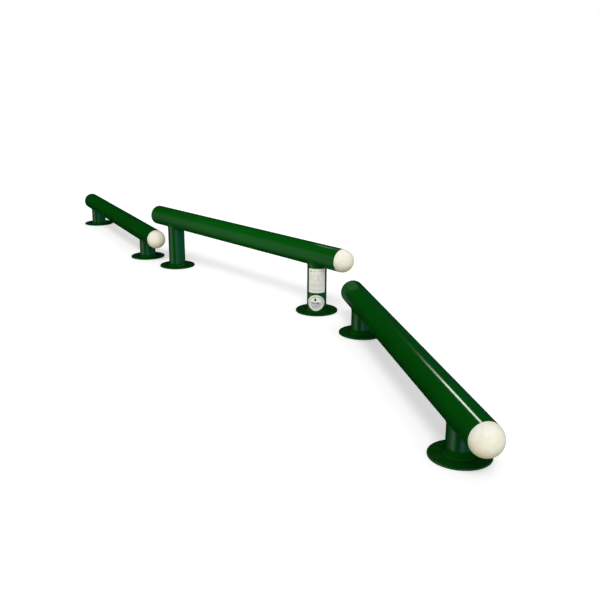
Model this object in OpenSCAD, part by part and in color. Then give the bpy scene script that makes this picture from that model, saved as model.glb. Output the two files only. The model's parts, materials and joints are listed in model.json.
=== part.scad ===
// Balance beam set: three separate tube beams in a zig-zag, low, high, low.
// Millimetres, +Z up, ground at z = 0. The origin is the middle of the set's footprint.

/* [Beam tube] */
// Length of each beam tube, rim to rim
beam_length = 2000; // [1600:10:2600]
// Outside diameter of the beam tube
beam_od = 140; // [130:1:160]
// Wall of the beam tube
beam_wall = 3; // [2.5:0.5:5]
// Height of the low beams' axis above the ground
low_axis_height = 182; // [160:1:240]
// Height of the high beam's axis above the ground
high_axis_height = 358; // [340:1:460]

/* [Posts] */
// Outside diameter of each post
post_od = 121; // [100:1:124]
// Wall of each post
post_wall = 3; // [2.5:0.5:5]
// Distance from a rim of the beam to the nearest post's axis
post_inset = 230; // [170:1:320]
// The same distance at the high beam's dome end
high_dome_post_inset = 215; // [170:1:320]

/* [Base flanges] */
// Diameter of each base flange
flange_d = 260; // [240:1:300]
// Thickness of each base flange
flange_t = 8; // [6:0.5:12]
// Chamfer on the flange's upper edge
flange_chamfer = 1.2; // [0.5:0.1:2]
// Diameter of the ground dowel hole through each flange
dowel_hole_d = 60; // [40:1:80]

/* [Dome caps] */
// Wall of the moulded dome
dome_wall = 3.5; // [2.5:0.5:5]
// Straight band between the tube's rim and the half ball
dome_band = 4; // [2:0.5:6]
// Length of the plug inside the tube
plug_length = 45; // [30:1:60]
// Number of sealing ribs on the plug
plug_ribs = 4; // [2:1:5]

/* [End plates] */
// Thickness of the end plate
end_plate_t = 5; // [4:0.5:8]
// Depth of the end plate's face inside the rim
end_plate_recess = 5; // [4.5:0.5:10]

/* [Welds] */
// Leg of the weld between post and beam
saddle_leg = 6; // [4:0.5:7]
// Leg of the weld between post and flange
foot_leg = 4; // [3:0.5:4.5]
// Leg of the weld around the end plate
end_leg = 4; // [3:0.5:4]

/* [Label and badge] */
// Width of the wrapped label, measured straight across
label_width = 98; // [70:1:104]
// Height of the label's lower edge above the ground
label_bottom = 128; // [120:1:140]
// Height of the label
label_height = 153; // [100:1:155]
// Direction the label faces, from the beam's own axis
label_heading = -43.2; // [-60:0.1:-30]
// Diameter of the round badge, seen from the front
badge_d = 102; // [80:1:104]
// Height of the badge's centre above the ground
badge_height = 64; // [64:1:68]
// Direction the badge faces, from the beam's own axis
badge_heading = -47.9; // [-60:0.1:-30]
// Thickness of the label and of the badge
sticker_t = 0.5; // [0.3:0.1:0.8]

/* [Set layout] */
// How far the rear low beam's dome rim lies inside the high beam's plate rim
rear_overlap = 45; // [-200:1:60]
// Sideways step from the high beam's axis to the rear low beam's dome rim
rear_step = -65; // [-90:1:-40]
// Direction of the rear low beam, plate end to dome end
rear_heading = -14.33; // [-40:0.01:0]
// Gap along the high beam from its dome rim to the front low beam's plate rim
front_gap = 82; // [75:1:300]
// Sideways step from the high beam's axis to the front low beam's plate rim
front_step = 12; // [-30:1:30]
// Direction of the front low beam, plate end to dome end
front_heading = -31.41; // [-60:0.01:0]

/* [Hidden] */
$fn = 96;
gap = 0.3;
e = 1;

beam_r = beam_od / 2;
bore_r = beam_r - beam_wall;
post_r = post_od / 2;
flange_r = flange_d / 2;
dome_r = beam_r - gap;
plug_rib_r = bore_r - gap;
plug_r = bore_r - 2.5;
plug_rib_t = 2;
plug_rib_pitch = (plug_length - 6) / plug_ribs;
sticker_r = post_r + gap;

// Rims before the set is centred on the origin. The high beam lies along +X with its plate rim at 0.
function along(from, heading, d) = from + d * [cos(heading), sin(heading)];
high_rim = [0, 0];
rear_dome_rim = [rear_overlap, rear_step];
rear_rim = along(rear_dome_rim, rear_heading, -beam_length);
front_rim = [beam_length + front_gap, front_step];
front_dome_centre = along(front_rim, front_heading, beam_length + dome_band);
rear_flange = along(rear_rim, rear_heading, post_inset);
front_flange = along(front_rim, front_heading, beam_length - post_inset);

// The footprint's limits, which set the origin.
x_low = rear_rim[0] - beam_r * abs(sin(rear_heading));
x_high = front_dome_centre[0] + dome_r;
y_low = min(front_dome_centre[1] - dome_r, front_flange[1] - flange_r);
y_high = max(rear_rim[1] + beam_r * cos(rear_heading), rear_flange[1] + flange_r);
shift = -[(x_low + x_high) / 2, (y_low + y_high) / 2];

// Each beam: plate rim, direction, axis height, distance of the dome-end post from the dome rim.
REAR = [rear_rim, rear_heading, low_axis_height, post_inset];
HIGH = [high_rim, 0, high_axis_height, high_dome_post_inset];
FRONT = [front_rim, front_heading, low_axis_height, post_inset];

paint = [0.05, 0.26, 0.07];
weld_paint = [0.06, 0.30, 0.08];
cream = [0.93, 0.92, 0.84];
label_white = [0.86, 0.87, 0.86];

// ---- Shared shapes, each drawn in a beam's own frame: plate rim at x = 0, dome rim at beam_length ----

module place(beam)
  translate([beam[0][0] + shift[0], beam[0][1] + shift[1], 0])
    rotate([0, 0, beam[1]])
      children();

module at_dome_post(beam)
  place(beam)
    translate([beam_length - beam[3], 0, 0])
      children();

module at_plate_post(beam)
  place(beam)
    translate([post_inset, 0, 0])
      children();

// A cylinder along the beam's axis from x0 to x1.
module rod(x0, x1, r, axis_height)
  translate([x0, 0, axis_height])
    rotate([0, 90, 0])
      cylinder(h = x1 - x0, r = r);

module beam_tube(beam)
  place(beam)
    difference() {
      rod(0, beam_length, beam_r, beam[2]);
      rod(-e, beam_length + e, bore_r, beam[2]);
    }

module half_ball(r, x0, axis_height)
  intersection() {
    translate([x0, 0, axis_height])
      sphere(r = r);
    translate([x0, -beam_od, axis_height - beam_od])
      cube([beam_od, 2 * beam_od, 2 * beam_od]);
  }

module dome_cap(beam)
  place(beam)
    difference() {
      union() {
        half_ball(dome_r, beam_length + dome_band, beam[2]);
        rod(beam_length, beam_length + dome_band, dome_r, beam[2]);
        rod(beam_length - plug_length, beam_length, plug_r, beam[2]);
        for (i = [0 : plug_ribs - 1])
          translate([-6 - i * plug_rib_pitch, 0, 0])
            rod(beam_length - plug_rib_t, beam_length, plug_rib_r, beam[2]);
      }
      half_ball(dome_r - dome_wall, beam_length + dome_band, beam[2]);
      rod(beam_length - plug_length - e, beam_length + dome_band + 0.5, plug_r - dome_wall, beam[2]);
    }

module end_plate(beam)
  place(beam)
    rod(end_plate_recess, end_plate_recess + end_plate_t, bore_r - gap, beam[2]);

// A ring in the corner between the end plate and the tube's bore.
module end_weld(beam)
  place(beam)
    translate([end_plate_recess, 0, beam[2]])
      rotate([0, -90, 0])
        rotate_extrude()
          polygon([
            [bore_r - gap - end_leg, 0],
            [bore_r - gap, 0],
            [bore_r - gap, end_leg],
            [bore_r - gap - 0.4 * end_leg, 0.75 * end_leg],
            [bore_r - gap - 0.75 * end_leg, 0.4 * end_leg],
          ]);

// The post, coped to the beam above it.
module post(beam)
  difference() {
    translate([0, 0, flange_t])
      cylinder(h = beam[2] - flange_t - beam_r / 3, r = post_r);
    translate([0, 0, flange_t - e])
      cylinder(h = beam[2], r = post_r - post_wall);
    rod(-2 * post_od, 2 * post_od, beam_r + gap, beam[2]);
  }

// The bead around the top of a post, under the beam.
module saddle_weld(beam)
  intersection() {
    difference() {
      translate([0, 0, beam[2] - beam_od])
        cylinder(h = beam_od, r = post_r + gap + saddle_leg);
      translate([0, 0, beam[2] - beam_od - e])
        cylinder(h = beam_od + 2 * e, r = post_r + gap);
      rod(-2 * post_od, 2 * post_od, beam_r + gap, beam[2]);
    }
    rod(-post_od, post_od, beam_r + gap + saddle_leg, beam[2]);
  }

module base_flange()
  rotate_extrude()
    polygon([
      [dowel_hole_d / 2, 0],
      [flange_r, 0],
      [flange_r, flange_t - flange_chamfer],
      [flange_r - flange_chamfer, flange_t],
      [dowel_hole_d / 2, flange_t],
    ]);

module foot_weld()
  translate([0, 0, flange_t])
    rotate_extrude()
      polygon([
        [post_r + gap, 0],
        [post_r + gap + foot_leg, 0],
        [post_r + gap + 0.7 * foot_leg, 0.4 * foot_leg],
        [post_r + gap + 0.35 * foot_leg, 0.75 * foot_leg],
        [post_r + gap, foot_leg],
      ]);

// A thin sleeve around the post, which the label and the badge are cut from.
module sticker_sleeve()
  difference() {
    cylinder(h = high_axis_height, r = sticker_r + sticker_t);
    translate([0, 0, -e])
      cylinder(h = high_axis_height + 2 * e, r = sticker_r);
  }

// ---- Rear low beam ----

module rear_low_beam_tube()
  color(paint)
    beam_tube(REAR);

module rear_low_dome_cap()
  color(cream)
    dome_cap(REAR);

module rear_low_end_plate()
  color(paint)
    end_plate(REAR);

module rear_low_end_weld()
  color(weld_paint)
    end_weld(REAR);

module rear_low_dome_end_post()
  color(paint)
    at_dome_post(REAR)
      post(REAR);

module rear_low_plate_end_post()
  color(paint)
    at_plate_post(REAR)
      post(REAR);

module rear_low_dome_end_saddle_weld()
  color(weld_paint)
    at_dome_post(REAR)
      saddle_weld(REAR);

module rear_low_plate_end_saddle_weld()
  color(weld_paint)
    at_plate_post(REAR)
      saddle_weld(REAR);

module rear_low_dome_end_base_flange()
  color(paint)
    at_dome_post(REAR)
      base_flange();

module rear_low_plate_end_base_flange()
  color(paint)
    at_plate_post(REAR)
      base_flange();

module rear_low_dome_end_foot_weld()
  color(weld_paint)
    at_dome_post(REAR)
      foot_weld();

module rear_low_plate_end_foot_weld()
  color(weld_paint)
    at_plate_post(REAR)
      foot_weld();

// ---- High beam ----

module high_beam_tube()
  color(paint)
    beam_tube(HIGH);

module high_dome_cap()
  color(cream)
    dome_cap(HIGH);

module high_end_plate()
  color(paint)
    end_plate(HIGH);

module high_end_weld()
  color(weld_paint)
    end_weld(HIGH);

module high_dome_end_post()
  color(paint)
    at_dome_post(HIGH)
      post(HIGH);

module high_plate_end_post()
  color(paint)
    at_plate_post(HIGH)
      post(HIGH);

module high_dome_end_saddle_weld()
  color(weld_paint)
    at_dome_post(HIGH)
      saddle_weld(HIGH);

module high_plate_end_saddle_weld()
  color(weld_paint)
    at_plate_post(HIGH)
      saddle_weld(HIGH);

module high_dome_end_base_flange()
  color(paint)
    at_dome_post(HIGH)
      base_flange();

module high_plate_end_base_flange()
  color(paint)
    at_plate_post(HIGH)
      base_flange();

module high_dome_end_foot_weld()
  color(weld_paint)
    at_dome_post(HIGH)
      foot_weld();

module high_plate_end_foot_weld()
  color(weld_paint)
    at_plate_post(HIGH)
      foot_weld();

module instruction_label()
  color(label_white)
    at_dome_post(HIGH)
      rotate([0, 0, label_heading])
        intersection() {
          sticker_sleeve();
          translate([0, -label_width / 2, label_bottom])
            cube([post_od, label_width, label_height]);
        }

module round_badge()
  color(label_white)
    at_dome_post(HIGH)
      rotate([0, 0, badge_heading])
        intersection() {
          sticker_sleeve();
          rod(0, post_od, badge_d / 2, badge_height);
        }

// ---- Front low beam ----

module front_low_beam_tube()
  color(paint)
    beam_tube(FRONT);

module front_low_dome_cap()
  color(cream)
    dome_cap(FRONT);

module front_low_end_plate()
  color(paint)
    end_plate(FRONT);

module front_low_end_weld()
  color(weld_paint)
    end_weld(FRONT);

module front_low_dome_end_post()
  color(paint)
    at_dome_post(FRONT)
      post(FRONT);

module front_low_plate_end_post()
  color(paint)
    at_plate_post(FRONT)
      post(FRONT);

module front_low_dome_end_saddle_weld()
  color(weld_paint)
    at_dome_post(FRONT)
      saddle_weld(FRONT);

module front_low_plate_end_saddle_weld()
  color(weld_paint)
    at_plate_post(FRONT)
      saddle_weld(FRONT);

module front_low_dome_end_base_flange()
  color(paint)
    at_dome_post(FRONT)
      base_flange();

module front_low_plate_end_base_flange()
  color(paint)
    at_plate_post(FRONT)
      base_flange();

module front_low_dome_end_foot_weld()
  color(weld_paint)
    at_dome_post(FRONT)
      foot_weld();

module front_low_plate_end_foot_weld()
  color(weld_paint)
    at_plate_post(FRONT)
      foot_weld();

rear_low_beam_tube();
rear_low_dome_cap();
rear_low_end_plate();
rear_low_end_weld();
rear_low_dome_end_post();
rear_low_plate_end_post();
rear_low_dome_end_saddle_weld();
rear_low_plate_end_saddle_weld();
rear_low_dome_end_base_flange();
rear_low_plate_end_base_flange();
rear_low_dome_end_foot_weld();
rear_low_plate_end_foot_weld();
high_beam_tube();
high_dome_cap();
high_end_plate();
high_end_weld();
high_dome_end_post();
high_plate_end_post();
high_dome_end_saddle_weld();
high_plate_end_saddle_weld();
high_dome_end_base_flange();
high_plate_end_base_flange();
high_dome_end_foot_weld();
high_plate_end_foot_weld();
instruction_label();
round_badge();
front_low_beam_tube();
front_low_dome_cap();
front_low_end_plate();
front_low_end_weld();
front_low_dome_end_post();
front_low_plate_end_post();
front_low_dome_end_saddle_weld();
front_low_plate_end_saddle_weld();
front_low_dome_end_base_flange();
front_low_plate_end_base_flange();
front_low_dome_end_foot_weld();
front_low_plate_end_foot_weld();
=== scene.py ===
import json
import math

import bpy
from mathutils import Matrix, Vector

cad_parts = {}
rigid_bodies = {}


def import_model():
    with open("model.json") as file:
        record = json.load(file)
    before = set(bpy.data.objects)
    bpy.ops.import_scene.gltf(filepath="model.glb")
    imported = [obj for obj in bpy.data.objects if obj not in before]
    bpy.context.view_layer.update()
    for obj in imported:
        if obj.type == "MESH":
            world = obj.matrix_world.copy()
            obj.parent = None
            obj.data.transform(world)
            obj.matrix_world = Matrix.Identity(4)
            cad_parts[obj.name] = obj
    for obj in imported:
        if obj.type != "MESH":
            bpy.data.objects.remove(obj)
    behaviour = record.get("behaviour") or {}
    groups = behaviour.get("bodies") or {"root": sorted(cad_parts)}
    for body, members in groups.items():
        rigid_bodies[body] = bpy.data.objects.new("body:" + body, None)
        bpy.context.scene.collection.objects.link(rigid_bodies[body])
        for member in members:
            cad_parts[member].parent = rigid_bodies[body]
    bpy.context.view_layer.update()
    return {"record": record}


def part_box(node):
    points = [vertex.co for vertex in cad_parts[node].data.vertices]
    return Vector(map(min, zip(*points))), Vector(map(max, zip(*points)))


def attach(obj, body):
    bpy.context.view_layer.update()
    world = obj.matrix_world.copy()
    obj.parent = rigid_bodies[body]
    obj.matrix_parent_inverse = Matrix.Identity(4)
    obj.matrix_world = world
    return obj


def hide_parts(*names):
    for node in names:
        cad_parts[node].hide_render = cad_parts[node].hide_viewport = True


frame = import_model()
RECORD = frame["record"]
MOUNTS = {m["name"]: Vector(m["pos_m"]) for m in RECORD["mounts"]}
MM = 0.001

# Sizes of the CAD part, in metres, where its boxes don't give them exactly.
TUBE_WALL = 3.0 * MM
POST_R = 60.5 * MM
POST_WALL = 3.0 * MM
DOWEL_HOLE_R = 30.0 * MM
DOME_WALL = 3.5 * MM
DOME_BAND = 4.0 * MM
PLUG_LENGTH = 45.0 * MM
PLUG_RIBS = 4
END_PLATE_T = 5.0 * MM
END_PLATE_RECESS = 5.0 * MM
SADDLE_LEG = 6.0 * MM
FOOT_LEG = 4.0 * MM
END_LEG = 4.0 * MM
LABEL_WIDTH = 98.0 * MM
LABEL_HEADING = -43.2  # degrees from the high beam's own direction
BADGE_HEADING = -47.9

# Small fits of the visible pieces.
BORE_GAP = 0.3 * MM  # between the tube's bore and a plate or a plug rib inside it
PLUG_GAP = 2.5 * MM  # between the tube's bore and the plug's own wall
CAP_STEP = 0.25 * MM  # the cap is this much smaller in radius than the tube
COPE_SINK = 0.5 * MM  # how far a post's top reaches into the beam's skin

ROUND = 168  # sides of every large round shape


# ---------------------------------------------------------------- where each beam is


class Beam:
    """One beam: its tube, its two posts and its own frame, with X from the plate rim to the dome rim."""

    def __init__(self, name):
        self.name = name
        plate = MOUNTS[f"{name}_plate_end_dowel_hole"]
        dome = MOUNTS[f"{name}_dome_end_dowel_hole"]
        self.direction = (dome - plate).normalized()
        low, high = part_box(f"{name}_beam_tube")
        centre = (low + high) / 2
        self.r = (high.z - low.z) / 2
        self.axis = centre.z
        self.heading = math.atan2(self.direction.y, self.direction.x)
        spread = 2 * self.r * abs(self.direction.y)
        self.length = (high.x - low.x - spread) / abs(self.direction.x)
        rim = centre - self.direction * self.length / 2
        self.origin = Vector((rim.x, rim.y, 0))
        self.post_x = {
            "dome_end": (dome - self.origin).dot(self.direction),
            "plate_end": (plate - self.origin).dot(self.direction),
        }
        low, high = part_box(f"{name}_dome_end_base_flange")
        self.flange_r = max(high.x - low.x, high.y - low.y) / 2
        self.flange_t = high.z

    def matrix(self, x=0.0, z=0.0, turn=0.0):
        """The matrix of a piece whose own origin is x along the beam and z above the ground."""
        place = Matrix.Translation(self.origin + self.direction * x + Vector((0, 0, z)))
        return place @ Matrix.Rotation(self.heading + turn, 4, "Z")


BEAMS = [Beam("rear_low"), Beam("high"), Beam("front_low")]
HIGH, FRONT_LOW = BEAMS[1], BEAMS[2]


# ---------------------------------------------------------------- mesh building


def add_piece(name, verts, faces, matrix, material, node, wear=None):
    """Makes a mesh piece that stands for a CAD node, and keeps its own coordinates as the attribute place."""
    if signed_volume(verts, faces) < 0:
        faces = [tuple(reversed(face)) for face in faces]
    mesh = bpy.data.meshes.new(name)
    mesh.from_pydata([matrix @ Vector(v) for v in verts], [], faces)
    mesh.polygons.foreach_set("use_smooth", [True] * len(mesh.polygons))
    place = mesh.attributes.new("place", "FLOAT_VECTOR", "POINT")
    place.data.foreach_set("vector", [c for v in verts for c in v])
    worn = mesh.attributes.new("wear", "FLOAT", "POINT")
    worn.data.foreach_set("value", wear if wear else [0.0] * len(verts))
    mesh.materials.append(material)
    mesh.update()
    obj = bpy.data.objects.new(name, mesh)
    bpy.context.scene.collection.objects.link(obj)
    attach(obj, "root")
    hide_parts(node)
    return obj


def ring_faces(rings, sides, closed_loop):
    """Quads between closed rings of equal length. The last ring joins the first in a closed loop."""
    faces = []
    for i in range(rings if closed_loop else rings - 1):
        a, b = i * sides, ((i + 1) % rings) * sides
        for j in range(sides):
            k = (j + 1) % sides
            faces.append((a + j, a + k, b + k, b + j))
    return faces


def lathe(profile, sides, along_x, closed_loop=True):
    """Turns a profile of (distance along, radius) points about X or Z."""
    verts = []
    for d, r in profile:
        for j in range(sides):
            t = 2 * math.pi * j / sides
            c, s = r * math.cos(t), r * math.sin(t)
            verts.append((d, c, s) if along_x else (c, s, d))
    return verts, ring_faces(len(profile), sides, closed_loop)


def capped_lathe(profile, sides):
    """A lathe about X whose first and last profile points lie on the axis, each made one vertex."""
    verts, faces = lathe(profile[1:-1], sides, along_x=True, closed_loop=False)
    last_ring = len(profile) - 3
    for (d, _), ring, flip in ((profile[0], 0, True), (profile[-1], last_ring, False)):
        tip = len(verts)
        verts.append((d, 0.0, 0.0))
        base = ring * sides
        for j in range(sides):
            k = (j + 1) % sides
            tri = (base + k, base + j, tip) if flip else (base + j, base + k, tip)
            faces.append(tri)
    return verts, faces


def arc(cx, cy, r, start, end, steps):
    """Points on a circular arc in a profile, with angles in degrees."""
    points = []
    for i in range(steps + 1):
        t = math.radians(start + (end - start) * i / steps)
        points.append((cx + r * math.cos(t), cy + r * math.sin(t)))
    return points


def spaced(low, high, steps):
    """Evenly spaced values strictly between two ends."""
    return [low + (high - low) * i / steps for i in range(1, steps)]


def near(distance, reach):
    """1 at an edge, fading away over a few times the reach."""
    return math.exp(-max(distance, 0.0) / reach)


def signed_volume(verts, faces):
    """Positive when the faces of a closed surface look outwards."""
    total = 0.0
    for face in faces:
        a = Vector(verts[face[0]])
        for i in range(1, len(face) - 1):
            total += a.dot(Vector(verts[face[i]]).cross(Vector(verts[face[i + 1]])))
    return total / 6


# ---------------------------------------------------------------- shader helpers


class Nodes:
    """A small helper that adds and links shader nodes."""

    def __init__(self, tree):
        self.tree = tree

    def add(self, kind, **settings):
        node = self.tree.nodes.new(kind)
        for key, value in settings.items():
            setattr(node, key, value)
        return node

    def link(self, source, target):
        self.tree.links.new(source, target)

    def put(self, socket, value):
        """Links a socket, or sets a plain value on it."""
        if isinstance(value, bpy.types.NodeSocket):
            self.link(value, socket)
        else:
            socket.default_value = value

    def math(self, operation, a, b=0.0, clamp=False):
        node = self.add("ShaderNodeMath", operation=operation, use_clamp=clamp)
        self.put(node.inputs[0], a)
        self.put(node.inputs[1], b)
        return node.outputs[0]

    def mix(self, factor, a, b):
        """A colour mix."""
        node = self.add("ShaderNodeMix", data_type="RGBA")
        self.put(node.inputs["Factor"], factor)
        self.put(node.inputs[6], a)
        self.put(node.inputs[7], b)
        return node.outputs[2]

    def ramp(self, value, stops):
        """Colours at given places from 0 to 1, with soft steps between them."""
        node = self.add("ShaderNodeValToRGB")
        node.color_ramp.interpolation = "EASE"
        elements = node.color_ramp.elements
        while len(elements) < len(stops):
            elements.new(0.5)
        for element, (position, colour) in zip(elements, stops):
            element.position = position
            element.color = colour
        self.put(node.inputs[0], value)
        return node.outputs[0]

    def noise(self, vector, scale, detail=3.0, rough=0.5, distortion=0.0):
        node = self.add("ShaderNodeTexNoise")
        self.put(node.inputs["Vector"], vector)
        node.inputs["Scale"].default_value = scale
        node.inputs["Detail"].default_value = detail
        node.inputs["Roughness"].default_value = rough
        node.inputs["Distortion"].default_value = distortion
        return node.outputs["Fac"]

    def stretched(self, vector, scale):
        """The vector with its three parts scaled apart, for lengthwise lines and swirls."""
        node = self.add("ShaderNodeMapping")
        self.put(node.inputs["Vector"], vector)
        node.inputs["Scale"].default_value = scale
        return node.outputs["Vector"]

    def range(self, value, low, high, to_low=0.0, to_high=1.0):
        """The value carried from one range to another, and held at its ends."""
        node = self.add("ShaderNodeMapRange")
        self.put(node.inputs["Value"], value)
        node.inputs["From Min"].default_value = low
        node.inputs["From Max"].default_value = high
        node.inputs["To Min"].default_value = to_low
        node.inputs["To Max"].default_value = to_high
        return node.outputs["Result"]

    def smooth(self, value, low, high):
        """0 below low and 1 above high, with a soft step between. Low may be the larger."""
        node = self.add("ShaderNodeMapRange", interpolation_type="SMOOTHSTEP")
        self.put(node.inputs["Value"], value)
        flip = low > high
        node.inputs["From Min"].default_value = high if flip else low
        node.inputs["From Max"].default_value = low if flip else high
        node.inputs["To Min"].default_value = 1.0 if flip else 0.0
        node.inputs["To Max"].default_value = 0.0 if flip else 1.0
        return node.outputs["Result"]

    def blend(self, mode, a, b):
        node = self.add("ShaderNodeMix", data_type="RGBA", blend_type=mode)
        node.inputs["Factor"].default_value = 1.0
        self.put(node.inputs[6], a)
        self.put(node.inputs[7], b)
        return node.outputs[2]

    def bump(self, height, distance, strength):
        """A normal for a height from 0 to 1 that stands for the distance, in metres."""
        node = self.add("ShaderNodeBump")
        self.put(node.inputs["Height"], height)
        node.inputs["Distance"].default_value = distance
        node.inputs["Strength"].default_value = strength
        return node.outputs["Normal"]

    def attribute(self, name, output):
        """What add_piece stored on the mesh: place as a vector, or wear as a number."""
        return self.add("ShaderNodeAttribute", attribute_name=name).outputs[output]

    def split(self, vector):
        """The X, Y and Z outputs of a vector."""
        node = self.add("ShaderNodeSeparateXYZ")
        self.link(vector, node.inputs[0])
        return node.outputs


def new_material(name):
    """A new material, with its node helper and its shader."""
    material = bpy.data.materials.new(name)
    material.use_nodes = True
    tree = material.node_tree
    shader = next(n for n in tree.nodes if n.type == "BSDF_PRINCIPLED")
    return material, Nodes(tree), shader


def rgb(r, g, b):
    return (r, g, b, 1.0)


GREEN = rgb(0.0012, 0.066, 0.0030)
GREEN_DEEP = rgb(0.0010, 0.058, 0.0026)
GREEN_WORN = rgb(0.011, 0.086, 0.017)
PRIMER = rgb(0.16, 0.20, 0.17)
CREAM = rgb(0.840, 0.828, 0.735)
CREAM_WARM = rgb(0.790, 0.750, 0.605)
CREAM_PINK = rgb(0.800, 0.715, 0.635)
CREAM_PALE = rgb(0.850, 0.885, 0.800)
DUST = rgb(0.10, 0.13, 0.085)
# The paint mirrors about half as much as a plain gloss coat, so that pale neighbours stay faint in it.
PAINT_SPECULAR = 0.25


def paint_material(name, painted_shade=1.0, walked=False, grounded=False, beaded=False):
    """Gloss powder coat on steel: slight orange peel, uneven depth of colour, a little wear at the edges, and
    a painted shade that darkens the whole colour where asked.
    """
    material, n, shader = new_material(name)
    place = n.attribute("place", "Vector")
    wear = n.attribute("wear", "Fac")
    broad = n.noise(place, 5.0, 3.0)
    cloudy = n.noise(place, 38.0, 4.0, 0.6)
    fine = n.noise(place, 900.0, 2.0)
    tone = n.mix(n.range(broad, 0.35, 0.65), GREEN_DEEP, GREEN)
    tone = n.mix(n.range(cloudy, 0.62, 0.80, 0.0, 0.22), tone, GREEN_WORN)
    # Wear: polished, slightly paler edges, and a few pin-head chips down to the primer.
    edge = n.math("MULTIPLY", wear, n.range(cloudy, 0.35, 0.65, 0.3, 1.0), clamp=True)
    tone = n.mix(n.math("MULTIPLY", edge, 0.38), tone, GREEN_WORN)
    spots = n.noise(place, 420.0, 2.0, 0.55)
    chip = n.range(n.math("ADD", spots, n.math("MULTIPLY", wear, 0.17)), 0.84, 0.87)
    tone = n.mix(n.math("MULTIPLY", chip, 0.8), tone, PRIMER)
    rough = n.range(cloudy, 0.3, 0.7, 0.105, 0.14)
    rough = n.math("ADD", rough, n.math("MULTIPLY", edge, 0.10))
    height = n.math("ADD", n.math("MULTIPLY", fine, 0.2), n.noise(place, 260.0, 2.0))
    if walked:
        # Shoes dull the top of the tube in fine lengthwise and skewed scuffs.
        top = n.range(n.split(place)["Z"], 0.045, 0.070)
        scuffs = n.noise(n.stretched(place, (9.0, 420.0, 420.0)), 1.0, 4.0, 0.7, 0.4)
        skew = n.noise(n.stretched(place, (160.0, 34.0, 34.0)), 1.0, 4.0, 0.75, 1.2)
        lines = n.math("ADD", n.range(scuffs, 0.60, 0.74), n.range(skew, 0.66, 0.78), clamp=True)
        worn = n.math("MULTIPLY", lines, n.math("MULTIPLY", top, n.range(broad, 0.4, 0.62)))
        tone = n.mix(n.math("MULTIPLY", worn, 0.22), tone, GREEN_WORN)
        rough = n.math("ADD", rough, n.math("MULTIPLY", worn, 0.16))
    if grounded:
        # A film of dry dust thins out with height above the floor.
        low = n.range(n.split(place)["Z"], 0.012, 0.0)
        dust = n.math("MULTIPLY", low, n.range(cloudy, 0.42, 0.72))
        tone = n.mix(n.math("MULTIPLY", dust, 0.18), tone, DUST)
        rough = n.math("ADD", rough, n.math("MULTIPLY", dust, 0.25))
    if beaded:
        height = n.math("ADD", height, n.math("MULTIPLY", n.noise(place, 700.0, 3.0), 1.5))
    # Painted shade: a factor below 1 darkens the whole paint, for pieces that stand in the beams' shade.
    if painted_shade < 1.0:
        tone = n.blend("MULTIPLY", tone, rgb(painted_shade, painted_shade, painted_shade))
    n.link(tone, shader.inputs["Base Color"])
    n.link(rough, shader.inputs["Roughness"])
    shader.inputs["Specular IOR Level"].default_value = PAINT_SPECULAR
    n.link(n.bump(height, 0.00001, 0.5), shader.inputs["Normal"])
    return material


def cap_material():
    """Moulded cream plastic, marbled in warm, pink and pale tones, with a fine matt grain."""
    material, n, shader = new_material("cream_moulded_plastic")
    place = n.attribute("place", "Vector")
    wear = n.attribute("wear", "Fac")
    mottle = n.noise(place, 30.0, 5.0, 0.62, 0.6)
    veil = n.noise(place, 13.0, 3.0, 0.5, 1.4)
    swirl = n.noise(n.stretched(place, (11.0, 19.0, 26.0)), 1.0, 4.0, 0.6, 2.2)
    tone = n.mix(n.range(mottle, 0.40, 0.68, 0.0, 0.8), CREAM, CREAM_WARM)
    tone = n.mix(n.range(veil, 0.48, 0.66, 0.0, 0.8), tone, CREAM_PINK)
    tone = n.mix(n.range(swirl, 0.52, 0.64, 0.0, 0.85), tone, CREAM_PALE)
    # Handling leaves a slightly greyer band beside the tube.
    band = n.math("MULTIPLY", wear, n.range(mottle, 0.35, 0.65, 0.35, 1.0))
    tone = n.mix(n.math("MULTIPLY", band, 0.22), tone, rgb(0.52, 0.50, 0.42))
    specks = n.noise(place, 520.0, 2.0)
    tone = n.mix(n.range(specks, 0.76, 0.80, 0.0, 0.35), tone, rgb(0.60, 0.56, 0.45))
    n.link(tone, shader.inputs["Base Color"])
    n.link(n.range(mottle, 0.3, 0.7, 0.42, 0.52), shader.inputs["Roughness"])
    shader.inputs["Specular IOR Level"].default_value = 0.4
    grain = n.math("ADD", n.noise(place, 1500.0, 2.0), n.math("MULTIPLY", mottle, 0.6))
    n.link(n.bump(grain, 0.00004, 0.6), shader.inputs["Normal"])
    return material


PAINT_TUBE = paint_material("green_gloss_walked", walked=True)
# Painted shade: the posts and flanges get darker copies of the paint, for the shade that falls on them under
# the beams.
PAINT_POST = paint_material("green_gloss_post", painted_shade=0.82)
PAINT_FLANGE = paint_material("green_gloss_flange", painted_shade=0.68, grounded=True)
PAINT_PLATE = paint_material("green_gloss_plate")
PAINT_BEAD = paint_material("green_gloss_weld", beaded=True)
CAP = cap_material()


# ---------------------------------------------------------------- steelwork


def tube_piece(beam):
    """The walking tube: both rims eased, its bore open."""
    r, inner, length = beam.r, beam.r - TUBE_WALL, beam.length
    ease, bevel = 0.8 * MM, 0.4 * MM
    steps = [1.5 * MM, 4 * MM, 9 * MM, 18 * MM]
    profile = arc(ease, r - ease, ease, 180, 90, 4)
    profile += [(x, r) for x in steps + spaced(20 * MM, length - 20 * MM, 60)]
    profile += [(length - x, r) for x in reversed(steps)]
    profile += arc(length - ease, r - ease, ease, 90, 0, 4)
    profile += [(length, inner + bevel), (length - bevel, inner)]
    profile += [(x, inner) for x in reversed(spaced(bevel, length - bevel, 12))]
    profile += [(bevel, inner), (0.0, inner + bevel)]
    verts, faces = lathe(profile, ROUND, along_x=True)
    wear = []
    for x, pr in profile:
        edge = min(x, length - x)
        wear += [0.9 * near(edge, 2.0 * MM) if pr > inner + MM else 0.2] * ROUND
    add_piece(f"{beam.name}_walking_tube", verts, faces, beam.matrix(z=beam.axis),
              PAINT_TUBE, f"{beam.name}_beam_tube", wear)


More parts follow.
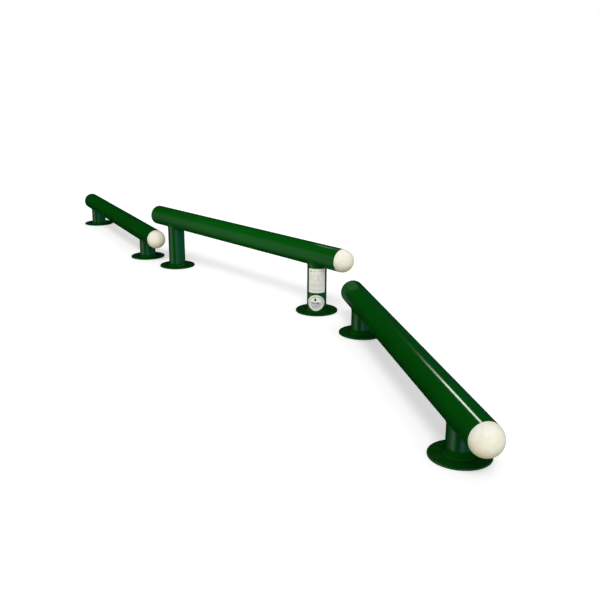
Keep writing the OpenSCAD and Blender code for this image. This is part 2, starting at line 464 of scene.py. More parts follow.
def cap_piece(beam):
    """The dome cap: ribbed plug, short band and half ball, moulded in one shell."""
    r, bore = beam.r - CAP_STEP, beam.r - TUBE_WALL
    plug, rib = bore - PLUG_GAP, bore - BORE_GAP
    inner, plug_inner = r - DOME_WALL, plug - DOME_WALL
    bevel, ease, seat = 0.6 * MM, 0.7 * MM, 0.15 * MM
    # The outside, from the plug's open end over its ribs to the ball.
    outside = [(-PLUG_LENGTH, plug_inner), (-PLUG_LENGTH, plug - bevel), (-PLUG_LENGTH + bevel, plug)]
    first_rib = 6 * MM
    pitch = (PLUG_LENGTH - first_rib) / PLUG_RIBS
    for i in reversed(range(PLUG_RIBS)):
        x = -first_rib - i * pitch
        outside += [(x - 2 * MM, plug), (x - 1.4 * MM, rib), (x - 0.6 * MM, rib), (x, plug)]
    outside += [(seat, plug), (seat, r - ease)]
    outside += arc(seat + ease, r - ease, ease, 180, 90, 4)[1:]
    outside += [(2.2 * MM, r)]
    outside += arc(DOME_BAND, 0, r, 90, 0, 56)[:-1]
    inside = arc(DOME_BAND, 0, inner, 0, 70, 24)[1:] + [(DOME_BAND + 0.5 * MM, plug_inner)]
    # One skin runs from the outer tip down to the plug's open end, and back up to the inner tip.
    profile = [(DOME_BAND + r, 0.0)] + outside[::-1] + inside[::-1] + [(DOME_BAND + inner, 0.0)]
    verts, faces = capped_lathe(profile, ROUND)
    wear = []
    for x, pr in profile[1:-1]:
        rim = near(abs(x - 0.8 * MM), 2.5 * MM) if pr > plug + MM and x > 0 else 0.0
        wear += [rim] * ROUND
    wear += [0.0, 0.0]
    cap = add_piece(f"{beam.name}_moulded_cap", verts, faces, beam.matrix(x=beam.length, z=beam.axis),
                    CAP, f"{beam.name}_dome_cap", wear)
    # The paint doesn't mirror the pale caps. A dim lamp stands in for the high beam's one.
    cap.visible_glossy = False


def plate_piece(beam):
    """The closing plate, set inside the far rim."""
    r, ease, sides = beam.r - TUBE_WALL - BORE_GAP, 0.6 * MM, 120
    profile = [(0.0, r * f) for f in (0.0, 0.3, 0.6, 0.85)]
    profile += arc(ease, r - ease, ease, 180, 90, 3)
    profile += arc(END_PLATE_T - ease, r - ease, ease, 90, 0, 3)
    profile += [(END_PLATE_T, r * 0.5), (END_PLATE_T, 0.0)]
    verts, faces = capped_lathe(profile, sides)
    add_piece(f"{beam.name}_closing_plate", verts, faces, beam.matrix(x=END_PLATE_RECESS, z=beam.axis),
              PAINT_PLATE, f"{beam.name}_end_plate")


def ripple(distance, pitch):
    """The height of overlapping weld ripples, from 0 to 1, with a steep leading edge."""
    t = (distance / pitch) % 1.0
    return math.sin(math.pi * t**0.6)


def bead_section(steps):
    """Points across a convex fillet as (share along leg A, share along leg B, bulge)."""
    points = []
    for i in range(steps + 1):
        t = i / steps
        points.append((1 - t, t, math.sin(math.pi * t)))
    return points


def end_bead(beam):
    """The ring of weld round the closing plate."""
    sides, r = 720, beam.r - TUBE_WALL - BORE_GAP
    section = bead_section(8)
    verts = []
    for a, b, bulge in section:
        for j in range(sides):
            t = 2 * math.pi * j / sides
            wave = ripple(t * r, 3.6 * MM)
            leg = END_LEG * (0.90 + 0.07 * wave)
            swell = (0.10 + 0.05 * wave) * leg * bulge
            x = -(leg * a) - swell * 0.7
            rr = r - leg * b - swell * 0.7
            verts.append((x, rr * math.cos(t), rr * math.sin(t)))
    for j in range(sides):
        t = 2 * math.pi * j / sides
        verts.append((0.0, r * math.cos(t), r * math.sin(t)))
    faces = ring_faces(len(section) + 1, sides, closed_loop=True)
    add_piece(f"{beam.name}_closing_bead", verts, faces, beam.matrix(x=END_PLATE_RECESS, z=beam.axis),
              PAINT_BEAD, f"{beam.name}_end_weld", [0.35] * len(verts))


def saddle_z(beam, y, sink=0.0):
    """Height of the beam's underside at y across the beam, or of a line that far inside its skin."""
    return beam.axis - math.sqrt((beam.r - sink) ** 2 - y * y)


def post_piece(beam, end):
    """A hollow post whose top is coped to the underside of the beam."""
    sides, r, inner = ROUND, POST_R, POST_R - POST_WALL
    low = beam.flange_t
    levels = [0.0, 0.01, 0.03, 0.07, 0.15, 0.3, 0.45, 0.6, 0.75, 0.88, 0.95, 1.0]
    rows = [(r, f) for f in levels] + [(inner, f) for f in reversed(levels)]
    verts, wear = [], []
    for radius, f in rows:
        for j in range(sides):
            t = 2 * math.pi * j / sides
            x, y = radius * math.cos(t), radius * math.sin(t)
            z = low + (saddle_z(beam, y, COPE_SINK) - low) * f
            verts.append((x, y, z))
            wear.append(0.25 * near(z - low, 6 * MM))
    faces = ring_faces(len(rows), sides, closed_loop=True)
    add_piece(f"{beam.name}_{end}_steel_post", verts, faces, beam.matrix(x=beam.post_x[end]),
              PAINT_POST, f"{beam.name}_{end}_post", wear)


def saddle_bead(beam, end):
    """The weld round the top of a post, following the curve where it meets the beam."""
    sides, section = 540, bead_section(7)
    overlap, root = 0.2 * MM, 0.5 * MM  # how far its toes and its hidden corner reach into the steel
    rings = [[] for _ in range(len(section) + 1)]
    walked, last = 0.0, None
    for j in range(sides):
        t = 2 * math.pi * j / sides
        x, y = POST_R * math.cos(t), POST_R * math.sin(t)
        corner = Vector((x, y, saddle_z(beam, y)))
        if last is not None:
            walked += (corner - last).length
        last = corner
        out = Vector((math.cos(t), math.sin(t), 0))
        up = Vector((0, corner.y, corner.z - beam.axis)).normalized()
        along_beam = (out - up * out.dot(up)).normalized()
        down_post = Vector((0, 0, -1))
        between = (along_beam + down_post).normalized()
        wave = ripple(walked, 4.2 * MM)
        leg = SADDLE_LEG * (0.86 + 0.10 * wave)
        for k, (a, b, bulge) in enumerate(section):
            swell = (0.10 + 0.05 * wave) * leg * bulge
            point = corner + down_post * leg * a + along_beam * leg * b + between * swell
            rings[k].append(tuple(point - (out + up) * overlap))
        rings[-1].append(tuple(corner - (out + up) * root))
    verts = [v for ring in rings for v in ring]
    faces = ring_faces(len(rings), sides, closed_loop=True)
    add_piece(f"{beam.name}_{end}_saddle_bead", verts, faces, beam.matrix(x=beam.post_x[end]),
              PAINT_BEAD, f"{beam.name}_{end}_saddle_weld", [0.3] * len(verts))


def flange_piece(beam, end):
    """The base flange, with eased edges and the dowel hole."""
    r, t, hole = beam.flange_r, beam.flange_t, DOWEL_HOLE_R
    top, bottom, bevel = 1.4 * MM, 0.5 * MM, 0.3 * MM
    profile = [(bevel, hole), (0.0, hole + bevel)]
    profile += [(0.0, hole + (r - hole) * f) for f in (0.3, 0.6, 0.9)]
    profile += arc(bottom, r - bottom, bottom, 180, 90, 3)
    profile += [(t * 0.45, r)]
    profile += arc(t - top, r - top, top, 90, 0, 5)
    profile += [(t, r - inset * MM) for inset in (2.5, 4.5, 8, 14, 24)]
    profile += [(t, r * f) for f in (0.74, 0.66, 0.58, 0.52, 0.48, 0.44, 0.38, 0.3)]
    profile += [(t, hole + bevel), (t - bevel, hole)]
    verts, faces = lathe(profile, ROUND, along_x=False)
    wear = []
    for z, pr in profile:
        outer = near(r - pr, 2.2 * MM) if z > t * 0.4 else 0.3 * near(r - pr, 2.0 * MM)
        wear += [outer] * ROUND
    add_piece(f"{beam.name}_{end}_ground_flange", verts, faces, beam.matrix(x=beam.post_x[end]),
              PAINT_FLANGE, f"{beam.name}_{end}_base_flange", wear)


def foot_bead(beam, end):
    """The weld where a post stands on its flange."""
    sides, section = 600, bead_section(7)
    root = POST_R - 0.15 * MM
    verts = []
    for a, b, bulge in section:
        for j in range(sides):
            t = 2 * math.pi * j / sides
            wave = ripple(t * POST_R, 3.8 * MM)
            leg = FOOT_LEG * (0.86 + 0.10 * wave)
            swell = (0.10 + 0.05 * wave) * leg * bulge
            rr = root + leg * b + swell * 0.7
            z = leg * a + swell * 0.7
            verts.append((rr * math.cos(t), rr * math.sin(t), z))
    for j in range(sides):
        t = 2 * math.pi * j / sides
        verts.append((root * math.cos(t), root * math.sin(t), 0.0))
    faces = ring_faces(len(section) + 1, sides, closed_loop=True)
    add_piece(f"{beam.name}_{end}_foot_bead", verts, faces,
              beam.matrix(x=beam.post_x[end], z=beam.flange_t), PAINT_BEAD,
              f"{beam.name}_{end}_foot_weld", [0.3] * len(verts))


for beam in BEAMS:
    tube_piece(beam)
    cap_piece(beam)
    plate_piece(beam)
    end_bead(beam)
    for end in ("dome_end", "plate_end"):
        post_piece(beam, end)
        saddle_bead(beam, end)
        flange_piece(beam, end)
        foot_bead(beam, end)


# ---------------------------------------------------------------- label and badge

# Both films wrap the high beam's dome-end post. Their shapes are set by how they look from straight ahead.
STICKER_IN = POST_R + 0.06 * MM
STICKER_OUT = POST_R + 0.42 * MM


def wrapped(point_at, columns, rows):
    """A thin film on the post. point_at(i, j) gives (distance across the front, height) of a grid point."""
    verts = []
    for radius in (STICKER_OUT, STICKER_IN):
        for i in range(columns):
            for j in range(rows):
                across, z = point_at(i, j)
                t = math.asin(across / STICKER_OUT)
                verts.append((radius * math.cos(t), radius * math.sin(t), z))
    layer, faces = columns * rows, []
    for i in range(columns - 1):
        for j in range(rows - 1):
            a, b = i * rows + j, (i + 1) * rows + j
            faces.append((a, b, b + 1, a + 1))
            faces.append((layer + a + 1, layer + b + 1, layer + b, layer + a))
    return verts, faces, layer


def stick_on(name, verts, faces, heading, material, node):
    """Adds a film to the post, turned to its heading."""
    film = add_piece(name, verts, faces, HIGH.matrix(x=HIGH.post_x["dome_end"], turn=math.radians(heading)),
                     material, node)
    # The paint doesn't mirror the pale films. One dim lamp stands in for both.
    film.visible_glossy = False


def label_piece():
    """The wrapped instruction label, with rounded corners."""
    low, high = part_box("instruction_label")
    z0, z1, half, corner = low.z, high.z, LABEL_WIDTH / 2, 5 * MM
    corner_steps, rows = 8, 70
    near_edge = [corner * (1 - math.cos(math.pi / 2 * i / corner_steps)) for i in range(corner_steps + 1)]
    across = [-half + e for e in near_edge] + spaced(-half + corner, half - corner, 60)
    across += [half - e for e in reversed(near_edge)]

    def at(i, j):
        x = across[i]
        inset = max(0.0, corner - (half - abs(x)))
        drop = corner - math.sqrt(max(0.0, corner**2 - inset**2))
        bottom, top = z0 + drop, z1 - drop
        return x, bottom + (top - bottom) * j / (rows - 1)

    columns = len(across)
    verts, faces, layer = wrapped(at, columns, rows)
    rim = [i * rows for i in range(columns)]
    rim += [(columns - 1) * rows + j for j in range(1, rows)]
    rim += [i * rows + rows - 1 for i in reversed(range(columns - 1))]
    rim += reversed(range(1, rows - 1))
    for a, b in zip(rim, rim[1:] + rim[:1]):
        faces.append((b, a, layer + a, layer + b))
    stick_on("instruction_film", verts, faces, LABEL_HEADING, label_material(z0, z1),
             "instruction_label")


def badge_piece():
    """The round badge, a circle when seen from the front."""
    low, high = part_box("round_badge")
    centre, radius = (low.z + high.z) / 2, (high.z - low.z) / 2
    rings, sides = 22, 120
    verts, faces = [], []
    for film in (STICKER_OUT, STICKER_IN):
        for i in range(1, rings + 1):
            for j in range(sides):
                t = 2 * math.pi * j / sides
                out = radius * i / rings
                turn = math.asin(out * math.cos(t) / STICKER_OUT)
                verts.append((film * math.cos(turn), film * math.sin(turn), centre + out * math.sin(t)))
        verts.append((film, 0.0, centre))
    layer = rings * sides + 1
    for base, flip in ((0, False), (layer, True)):
        for i in range(rings - 1):
            ring = base + i * sides
            for j in range(sides):
                k = (j + 1) % sides
                quad = (ring + j, ring + k, ring + sides + k, ring + sides + j)
                faces.append(tuple(reversed(quad)) if flip else quad)
        for j in range(sides):
            k = (j + 1) % sides
            tri = (base + k, base + j, base + layer - 1)
            faces.append(tuple(reversed(tri)) if flip else tri)
    edge = (rings - 1) * sides
    for j in range(sides):
        k = (j + 1) % sides
        faces.append((edge + j, edge + k, layer + edge + k, layer + edge + j))
    stick_on("badge_film", verts, faces, BADGE_HEADING, badge_material(centre, radius),
             "round_badge")


class Artwork:
    """Draws flat generic marks from a surface's own across and up distances, in millimetres.

    Each mask is 1 inside its shape and 0 outside, and changes over the soft distance at the edge."""

    def __init__(self, nodes, across, up):
        self.n, self.x, self.y = nodes, across, up

    def box(self, cx, cy, width, height, soft=0.35):
        """A rectangle."""
        n = self.n
        dx = n.math("SUBTRACT", n.math("ABSOLUTE", n.math("SUBTRACT", self.x, cx)), width / 2)
        dy = n.math("SUBTRACT", n.math("ABSOLUTE", n.math("SUBTRACT", self.y, cy)), height / 2)
        return n.range(n.math("MAXIMUM", dx, dy), soft / 2, -soft / 2)

    def disc(self, cx, cy, r, soft=0.35):
        """A filled circle."""
        return self.n.range(self.distance(cx, cy), r + soft / 2, r - soft / 2)

    def ring(self, cx, cy, r, width, soft=0.35):
        """A circular line of a given width."""
        n = self.n
        off = n.math("ABSOLUTE", n.math("SUBTRACT", self.distance(cx, cy), r))
        return n.range(off, width / 2 + soft / 2, width / 2 - soft / 2)

    def distance(self, cx, cy):
        """How far each point is from a centre."""
        n = self.n
        dx, dy = n.math("SUBTRACT", self.x, cx), n.math("SUBTRACT", self.y, cy)
        return n.math("SQRT", n.math("ADD", n.math("MULTIPLY", dx, dx), n.math("MULTIPLY", dy, dy)))

    def capsule(self, ax, ay, bx, by, r, soft=0.35):
        """A thick line with round ends."""
        n = self.n
        ex, ey = bx - ax, by - ay
        px, py = n.math("SUBTRACT", self.x, ax), n.math("SUBTRACT", self.y, ay)
        dot = n.math("ADD", n.math("MULTIPLY", px, ex), n.math("MULTIPLY", py, ey))
        t = n.math("DIVIDE", dot, ex * ex + ey * ey, clamp=True)
        qx = n.math("SUBTRACT", px, n.math("MULTIPLY", t, ex))
        qy = n.math("SUBTRACT", py, n.math("MULTIPLY", t, ey))
        d = n.math("SQRT", n.math("ADD", n.math("MULTIPLY", qx, qx), n.math("MULTIPLY", qy, qy)))
        return n.range(d, r + soft / 2, r - soft / 2)

    def bars(self, cx, cy, width, height, pitch, share=0.42):
        """Ragged grey bars in rows, standing for a paragraph without any letters."""
        n = self.n
        inside = self.box(cx, cy, width, height, 0.3)
        row = n.math("DIVIDE", n.math("SUBTRACT", self.y, cy - height / 2), pitch)
        line = n.math("LESS_THAN", n.math("FRACT", row), share)
        cut = n.add("ShaderNodeTexWhiteNoise", noise_dimensions="1D")
        n.link(n.math("FLOOR", row), cut.inputs["W"])
        reach = n.range(cut.outputs["Value"], 0.0, 1.0, cx + width * 0.18, cx + width * 0.5)
        short = n.math("LESS_THAN", self.x, reach)
        return n.math("MULTIPLY", inside, n.math("MULTIPLY", line, short))

    def any(self, *masks):
        """All the masks together."""
        total = masks[0]
        for mask in masks[1:]:
            total = self.n.math("MAXIMUM", total, mask)
        return total


def finish_sticker(n, shader, place, tone, ink, edge_grime):
    """Film over print: scuffs, a little grime at the edges, a soft ripple where it is stuck down."""
    scuff = n.noise(n.stretched(place, (60.0, 60.0, 900.0)), 1.0, 4.0, 0.7)
    cloud = n.noise(place, 55.0, 4.0, 0.6)
    tone = n.mix(n.range(cloud, 0.45, 0.75, 0.0, 0.10), tone, rgb(0.55, 0.57, 0.54))
    grime = n.math("MULTIPLY", edge_grime, n.range(cloud, 0.35, 0.65, 0.2, 0.7))
    tone = n.mix(grime, tone, rgb(0.28, 0.32, 0.27))
    n.link(tone, shader.inputs["Base Color"])
    rough = n.math("ADD", n.range(cloud, 0.3, 0.7, 0.26, 0.38), n.range(scuff, 0.6, 0.8, 0.0, 0.15))
    n.link(n.math("SUBTRACT", rough, n.math("MULTIPLY", ink, 0.05)), shader.inputs["Roughness"])
    shader.inputs["Coat Weight"].default_value = 0.25
    shader.inputs["Coat Roughness"].default_value = 0.12
    ripples = n.noise(place, 70.0, 2.0)
    height = n.math("ADD", ripples, n.math("MULTIPLY", ink, 0.12))
    n.link(n.bump(height, 0.00012, 0.5), shader.inputs["Normal"])


def label_material(z0, z1):
    """Generic print on a pale film: a header, a grey panel with a plain figure, and bars for paragraphs."""
    material, n, shader = new_material("printed_instruction_film")
    place = n.attribute("place", "Vector")
    split = n.split(place)
    turn = n.math("ARCTAN2", split["Y"], split["X"])
    across = n.math("MULTIPLY", turn, STICKER_OUT / MM)
    up = n.math("MULTIPLY", n.math("SUBTRACT", split["Z"], z0), 1 / MM)
    art = Artwork(n, across, up)
    height = (z1 - z0) / MM
    half = math.asin(LABEL_WIDTH / 2 / STICKER_OUT) * STICKER_OUT / MM
    paper = rgb(0.80, 0.83, 0.785)
    panel = rgb(0.770, 0.757, 0.742)
    grey, dark, red = rgb(0.42, 0.43, 0.43), rgb(0.07, 0.085, 0.08), rgb(0.50, 0.20, 0.18)
    top = height - 9
    # Header: a dark square mark and a thin red rule.
    mark = art.any(art.box(-half + 17, top - 8, 8, 8), art.disc(-half + 17, top - 8, 4.6))
    rule = art.box(7, top - 8.2, 2 * half - 38, 2.2)
    # A plain figure stepping along a bar, in pale grey.
    fx, fy = 8, height * 0.62
    figure = art.any(
        art.disc(fx, fy + 16, 4.2),
        art.capsule(fx, fy + 9, fx - 1, fy - 4, 3.0),
        art.capsule(fx, fy + 8, fx - 13, fy + 11, 1.5),
        art.capsule(fx, fy + 8, fx + 13, fy + 11, 1.5),
        art.capsule(fx - 1, fy - 4, fx + 6, fy - 16, 1.9),
        art.capsule(fx - 1, fy - 4, fx - 8, fy - 15, 1.9),
    )
    bar = art.capsule(fx - 26, fy - 20, fx + 24, fy - 20, 1.3)
    side_text = art.bars(-half + 22, fy, 22, 34, 4.4)
    text_a = art.bars(-2, height * 0.32, 2 * half - 28, 26, 4.2)
    text_b = art.bars(-2, height * 0.12, 2 * half - 28, 18, 4.2)
    panel_mask = art.box(0, height * 0.43, 2 * half - 18, height * 0.78, 3.0)
    frame_line = n.math("SUBTRACT", art.box(0, height / 2, 2 * half - 7, height - 7),
                        art.box(0, height / 2, 2 * half - 8.4, height - 8.4))
    tone = n.mix(panel_mask, paper, panel)
    pale = art.any(figure, bar)
    tone = n.mix(n.math("MULTIPLY", pale, 0.6), tone, grey)
    lines = art.any(side_text, text_a, text_b)
    tone = n.mix(n.math("MULTIPLY", lines, 0.65), tone, grey)
    tone = n.mix(n.math("MULTIPLY", frame_line, 0.5), tone, grey)
    tone = n.mix(n.math("MULTIPLY", rule, 0.8), tone, red)
    tone = n.mix(mark, tone, dark)
    inner = art.box(0, height / 2, 2 * half - 1.5, height - 1.5, 2.5)
    grime = n.math("SUBTRACT", 1.0, inner, clamp=True)
    finish_sticker(n, shader, place, tone, art.any(pale, lines, rule, mark), grime)
    return material


def badge_material(centre, radius):
    """Generic print on a round film: ticks, a small figure, a broken row, a slash and bars."""
    material, n, shader = new_material("printed_badge_film")
    place = n.attribute("place", "Vector")
    split = n.split(place)
    across = n.math("MULTIPLY", split["Y"], 1 / MM)
    up = n.math("MULTIPLY", n.math("SUBTRACT", split["Z"], centre), 1 / MM)
    art = Artwork(n, across, up)
    r = radius / MM
    paper, rim_grey = rgb(0.82, 0.85, 0.81), rgb(0.24, 0.31, 0.265)
    field, grey, dark = rgb(0.56, 0.565, 0.56), rgb(0.27, 0.285, 0.28), rgb(0.022, 0.030, 0.030)
    # Ticks of several greys round the upper rim.
    angle = n.math("ARCTAN2", up, across)
    tick = n.add("ShaderNodeTexWhiteNoise", noise_dimensions="1D")
    n.link(n.math("FLOOR", n.math("MULTIPLY", angle, 8.0)), tick.inputs["W"])
    upper = n.range(up, -16.0, -8.0)
    rim = n.math("MULTIPLY", art.ring(0, 0, r - 11.0, 7.5), upper)
    rim = n.math("MULTIPLY", rim, n.range(tick.outputs["Value"], 0.0, 1.0, 0.45, 0.95))
    hairline = art.ring(0, 0, r - 4.2, 1.2)
    # A small dark figure over a broken dark row, which stands on a grey field with a slash and bars.
    lower = n.math("MULTIPLY", art.disc(2, -6, 33, 4.0), n.range(up, 7.0, 3.0))
    figure = art.any(
        art.disc(-4, 30.5, 3.6), art.capsule(-4, 23, -4, 16, 5.0),
        art.capsule(-4, 24, -12, 19, 2.2), art.capsule(-4, 24, 5, 20, 2.2),
    )
    row = art.any(
        art.box(-27, 3, 7, 7.0), art.box(-17.5, -1, 9, 7.5), art.box(-8.5, 0.5, 5, 5.5),
        art.box(-2, 0, 4, 5.0), art.box(11, -1, 18, 8.0),
    )
    slash = art.capsule(-32, -14, -17, -27, 2.8)
    bars = art.any(
        art.box(9, -10, 42, 3.0), art.box(8, -16, 36, 2.6),
        art.box(4, -22, 30, 2.6), art.box(3, -28, 22, 2.4),
    )
    tone = n.mix(n.math("MULTIPLY", rim, 0.85), paper, rim_grey)
    tone = n.mix(n.math("MULTIPLY", hairline, 0.5), tone, rim_grey)
    tone = n.mix(n.math("MULTIPLY", lower, 0.9), tone, field)
    tone = n.mix(n.math("MULTIPLY", art.any(bars, slash), 0.85), tone, grey)
    tone = n.mix(art.any(figure, row), tone, dark)
    grime = n.range(art.distance(0, 0), r - 1.8, r, 0.0, 1.0)
    finish_sticker(n, shader, place, tone, art.any(rim, bars, row, figure), grime)
    return material


label_piece()
badge_piece()


# ---------------------------------------------------------------- floor, light and camera


# What matt surfaces see round them: above the horizon, below it, and in a band at the horizon.
SKY = (0.63, 0.63, 0.63)
GROUND = (0.32, 0.30, 0.14)
HORIZON = (0.20, 0.20, 0.19)
FLOOR_GLOW = 0.205
# Suns: the brightness of a white matt surface that faces it, its azimuth, elevation and width in degrees.
SUNS = {
    "key": ((0.345, 0.345, 0.345), 48, 44, 20),
    "front": ((0.28, 0.28, 0.27), 48, 5, 60),
}
SUN_DISTANCE = 8.0
# A fill lamp beside the high beam, which lights only its tube, posts and weld beads.
FILL_POWER = 3.4
FILL_FROM = (-35, 15, 2.0)  # azimuth, elevation and distance
FILL_SHIFT = 0.55  # its aim, from the beam's middle towards the cap
FILL_WIDTH, FILL_HEIGHT = 1.0, 0.6
FILL_SPREAD = 80
# What the gloss sees round the studio, mostly from below to a little above eye level: azimuth in degrees, red
# and blue brightness. Two soft boxes stand on the left and right, with a cooler wall behind the right one.
SURROUND = [
    (-180, 0.05, 0.20), (-160, 0.01, 0.05), (-150, 0.006, 0.035), (-135, 0.001, 0.006),
    (-90, 0.001, 0.002), (-76, 0.02, 0.02), (-64, 0.08, 0.09), (-52, 0.18, 0.23), (-44, 0.27, 0.34),
    (-36, 0.52, 0.62), (-28, 0.78, 0.90), (-14, 0.74, 0.90), (-6, 0.36, 0.50), (4, 0.03, 0.10),
    (26, 0.01, 0.07), (38, 0.18, 0.34), (46, 0.34, 0.68), (58, 0.34, 0.82), (68, 0.16, 0.64),
    (80, 0.10, 0.46), (104, 0.07, 0.42), (135, 0.06, 0.42), (156, 0.05, 0.32), (180, 0.05, 0.20),
]
# The table is for gloss of this refractive index. The paint's is weaker, so the surround is made brighter by
# the ratio of the two at the angle where an upright post shows each azimuth to this viewpoint (degrees).
TABLE_IOR = 1.5
POST_VIEW_AZIMUTH, POST_VIEW_ELEVATION = 48, 16
STEEPEST = 89
# Lamps seen only in the gloss: middle, width, height (metres), brightness. Together they make a tall strip
# that is dimmer at its foot.
STRIPS = [
    ((-0.151, 1.294, 2.02), 0.42, 0.32, (3.0, 3.4, 3.05)),
    ((-0.151, 1.294, 2.84), 0.46, 1.30, (12.5, 14.0, 12.6)),
]
STRIP_AIM = 0.9  # share of the front beam's length, from its plate rim
# A small card that puts a highlight on the high beam's end. Its narrow spread keeps it off the other beams.
CARD = ((0.493, 0.549, 0.766), 0.16, 0.12, (1.6, 1.75, 1.6))
CARD_SPREAD = 26
CARD_AIM = 0.1  # from the high beam's rim back along its top
# The dim glow of the high beam's cap and stickers in the next beam's paint, in place of the pieces.
CAP_GLOW = (0.11, 0.26, 0.11)
STICKER_GLOW = (0.09, 0.14, 0.10)
STICKER_GLOW_WIDTH, STICKER_GLOW_HEIGHT = 0.10, 0.24
STICKER_GLOW_Z = 0.15
GLOW_GAP = 0.015  # between a surface and the lamp that glows for it


def floor_piece():
    """A plain pale floor that runs out of sight in every direction."""
    half, gap = 60.0, 0.4 * MM
    mesh = bpy.data.meshes.new("studio_floor")
    corners = [(-half, -half, 0), (half, -half, 0), (half, half, 0), (-half, half, 0)]
    mesh.from_pydata(corners, [], [(0, 1, 2, 3)])
    material, _, shader = new_material("plain_pale_floor")
    shader.inputs["Base Color"].default_value = rgb(1.0, 1.0, 1.0)
    shader.inputs["Roughness"].default_value = 1.0
    shader.inputs["Specular IOR Level"].default_value = 0.0
    shader.inputs["Emission Color"].default_value = rgb(1.0, 1.0, 1.0)
    shader.inputs["Emission Strength"].default_value = FLOOR_GLOW
    mesh.materials.append(material)
    floor = bpy.data.objects.new("studio_floor", mesh)
    bpy.context.scene.collection.objects.link(floor)
    floor.location = (0, 0, -gap)
    floor.visible_glossy = False
    floor.visible_diffuse = False


def mirrored(ior, angle):
    """The share of light that a clear surface mirrors at an angle from straight on, in degrees (Fresnel)."""
    c = math.cos(math.radians(angle))
    bent = math.sqrt(1 - (1 - c * c) / ior ** 2)
    across = (c - ior * bent) / (c + ior * bent)
    along = (ior * c - bent) / (ior * c + bent)
    return (across ** 2 + along ** 2) / 2


def surround_gain(azimuth):
    """How much brighter the surround is at an azimuth, to make up for the paint's weak gloss."""
    straight_on = math.sqrt(0.08 * PAINT_SPECULAR)  # the shader mirrors 0.08 times its specular level
    paint_ior = (1 + straight_on) / (1 - straight_on)
    half_turn = abs((azimuth - POST_VIEW_AZIMUTH + 180) % 360 - 180) / 2
    facing = math.cos(math.radians(half_turn)) * math.cos(math.radians(POST_VIEW_ELEVATION))
    angle = min(math.degrees(math.acos(facing)), STEEPEST)
    return mirrored(TABLE_IOR, angle) / mirrored(paint_ior, angle)


def studio_world():
    """White to the camera, a soft sky to matt surfaces, and a dark studio with soft boxes to glossy ones."""
    world = bpy.data.worlds.new("studio")
    bpy.context.scene.world = world
    world.use_nodes = True
    world.cycles.sampling_method = "NONE"
    tree = world.node_tree
    tree.nodes.clear()
    n = Nodes(tree)
    way = n.split(n.add("ShaderNodeTexCoord").outputs["Generated"])
    degree = 180 / math.pi
    azimuth = n.math("ARCTAN2", way["X"], n.math("MULTIPLY", way["Y"], -1.0))
    azimuth = n.math("MULTIPLY", azimuth, degree)
    elevation = n.math("MULTIPLY", n.math("ARCSINE", way["Z"]), degree)
    stops = []
    for a, red, blue in SURROUND:
        gain = surround_gain(a)
        stops.append(((a + 180) / 360, rgb(red * gain, (red + blue) / 2 * gain, blue * gain)))
    seen = n.ramp(n.range(azimuth, -180, 180), stops)
    # Most of the surround is a low band, at the height where upright posts mirror it. Only the wall on the
    # left, beyond azimuth -50, reaches higher and lower. All of it goes dark a little above eye level.
    low_band = n.math("MULTIPLY", n.smooth(elevation, -36, -27), n.smooth(elevation, -1, -9))
    low_band = n.range(low_band, 0.0, 1.0, 0.10, 1.0)
    tall_wall = n.math("MULTIPLY", n.smooth(azimuth, -36, -50), n.smooth(azimuth, -158, -148))
    seen = n.mix(n.math("MAXIMUM", low_band, tall_wall), rgb(0.01, 0.012, 0.012), seen)
    seen = n.mix(n.smooth(elevation, 17, 33), seen, rgb(0.002, 0.002, 0.002))
    sky = n.mix(n.smooth(elevation, -6, 6), rgb(*GROUND), rgb(*SKY))
    band = n.smooth(n.math("ABSOLUTE", elevation), 30, 14)
    sky = n.blend("ADD", sky, n.mix(band, rgb(0, 0, 0), rgb(*HORIZON)))
    ray = n.add("ShaderNodeLightPath").outputs
    colour = n.mix(ray["Is Glossy Ray"], sky, seen)
    colour = n.mix(ray["Is Camera Ray"], colour, rgb(1, 1, 1))
    shine = n.add("ShaderNodeBackground")
    n.link(colour, shine.inputs["Color"])
    n.link(shine.outputs[0], n.add("ShaderNodeOutputWorld").inputs[0])


def toward(azimuth, elevation, distance=1.0):
    """The way to an azimuth and elevation in degrees, as the studio cameras count them."""
    a, e = math.radians(azimuth), math.radians(elevation)
    return Vector((math.sin(a) * math.cos(e), -math.cos(a) * math.cos(e), math.sin(e))) * distance


def light(name, kind, colour, strength, place, target):
    """A lamp that matt surfaces see and glossy ones don't."""
    data = bpy.data.lights.new(name, kind)
    data.color = [c / max(colour) for c in colour]
    data.energy = strength * max(colour)
    obj = bpy.data.objects.new(name, data)
    obj.location = place
    obj.rotation_euler = (target - place).to_track_quat("-Z", "Y").to_euler()
    bpy.context.scene.collection.objects.link(obj)
    obj.visible_glossy = False
    obj.visible_camera = False
    return obj


def area_lamp(name, colour, strength, place, target, width, height, spread, shape="RECTANGLE"):
    """A light with a size in metres and a spread in degrees."""
    obj = light(name, "AREA", colour, strength, place, target)
    obj.data.spread = math.radians(spread)
    obj.data.shape = shape
    obj.data.size, obj.data.size_y = width, height
    return obj


def gloss_lamp(name, place, target, width, height, colour, spread=180, shape="RECTANGLE"):
    """An area lamp of a given brightness that shows in the gloss and lights nothing else."""
    area = width * height * (math.pi / 4 if shape == "DISK" else 1.0)
    half = math.radians(spread) / 2
    # A narrow spread brightens a lamp of the same power, so the power is cut by as much.
    narrowed = (math.tan(half) - half) / math.tan(half) if spread < 180 else 1.0
    power = math.pi * area * narrowed
    obj = area_lamp(name, colour, power, Vector(place), target, width, height, spread, shape)
    obj.visible_glossy = True
    obj.visible_diffuse = False


def above(beam, x, z):
    """The point x along a beam from its plate rim and z above the ground."""
    return beam.origin + beam.direction * x + Vector((0, 0, z))


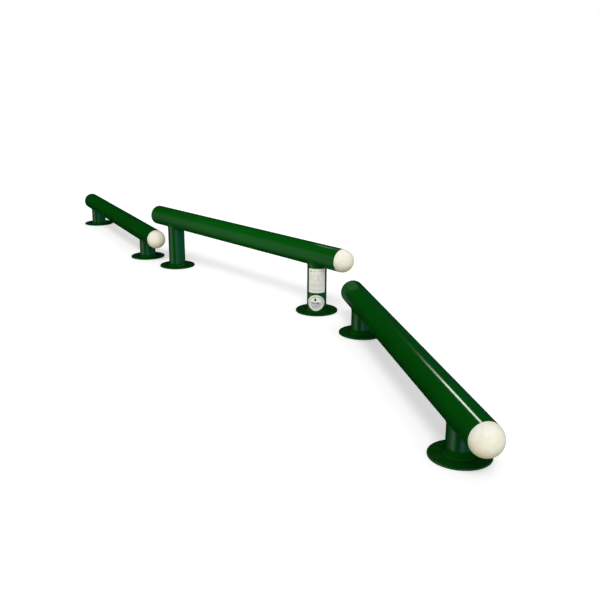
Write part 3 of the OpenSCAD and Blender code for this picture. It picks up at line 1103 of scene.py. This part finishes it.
def high_fill():
    """The fill lamp, linked to the high beam's tube, posts and weld beads."""
    target = above(HIGH, HIGH.length / 2 + FILL_SHIFT, HIGH.axis)
    fill = area_lamp("fill", (1.0, 1.0, 1.0), FILL_POWER, target + toward(*FILL_FROM), target,
                     FILL_WIDTH, FILL_HEIGHT, FILL_SPREAD)
    lit = bpy.data.collections.new("lit_by_fill")
    for piece in bpy.data.objects:
        if piece.name.startswith("high_") and piece.name.endswith(("_tube", "_post", "_bead")):
            lit.objects.link(piece)
    fill.light_linking.receiver_collection = lit


def studio_lights():
    """The suns, the fill, and the lamps that show only in the gloss."""
    centre = Vector((0, 0, 0.2))
    for name, (colour, azimuth, elevation, width) in SUNS.items():
        sun = light(name, "SUN", colour, math.pi, centre + toward(azimuth, elevation, SUN_DISTANCE), centre)
        sun.data.angle = math.radians(width)
    high_fill()
    near_end = above(FRONT_LOW, FRONT_LOW.length * STRIP_AIM, 0.0)
    for i, (place, width, height, colour) in enumerate(STRIPS):
        gloss_lamp(f"gloss_{i}", place, near_end, width, height, colour)
    place, width, height, colour = CARD
    high_end = above(HIGH, HIGH.length - CARD_AIM, HIGH.axis)
    gloss_lamp("gloss_card", place, high_end, width, height, colour, CARD_SPREAD)
    # The two glows face the far end of the front beam.
    far_end = above(FRONT_LOW, 0.0, FRONT_LOW.axis)
    cap = above(HIGH, HIGH.length, HIGH.axis)
    place = cap + (far_end - cap).normalized() * (HIGH.r + GLOW_GAP)
    gloss_lamp("cap_glow", place, far_end, 2 * HIGH.r, 2 * HIGH.r, CAP_GLOW, shape="DISK")
    post = above(HIGH, HIGH.post_x["dome_end"], STICKER_GLOW_Z)
    level = Vector((far_end.x, far_end.y, STICKER_GLOW_Z))
    place = post + (level - post).normalized() * (POST_R + GLOW_GAP)
    gloss_lamp("sticker_glow", place, level, STICKER_GLOW_WIDTH, STICKER_GLOW_HEIGHT, STICKER_GLOW)


LENS, SENSOR = 48.84, 36.0  # millimetres
VIEW_REACH = 200.0  # metres, so that the floor runs out of sight
CAMERA_AZIMUTH, CAMERA_PITCH, CAMERA_ROLL = 48.058, 16.317, 0.242  # degrees
CAMERA_FROM_HIGH_BEAM = (4.3419, -3.3363, 1.4936)  # metres from the ground under the high beam's middle


def camera():
    """A standing person's view of the three beams."""
    data = bpy.data.cameras.new("camera")
    data.lens, data.sensor_width = LENS, SENSOR
    data.clip_end = VIEW_REACH
    obj = bpy.data.objects.new("camera", data)
    obj.location = above(HIGH, HIGH.length / 2, 0.0) + Vector(CAMERA_FROM_HIGH_BEAM)
    back = toward(CAMERA_AZIMUTH, CAMERA_PITCH)
    level = back.to_track_quat("Z", "Y").to_matrix().to_4x4()
    roll = Matrix.Rotation(math.radians(CAMERA_ROLL), 4, "Z")
    obj.rotation_euler = (level @ roll).to_euler()
    bpy.context.scene.collection.objects.link(obj)
    bpy.context.scene.camera = obj


floor_piece()
studio_world()
studio_lights()
camera()
view = bpy.context.scene.view_settings
view.view_transform = "Standard"
view.look = "None"
view.exposure, view.gamma = 0.0, 1.0
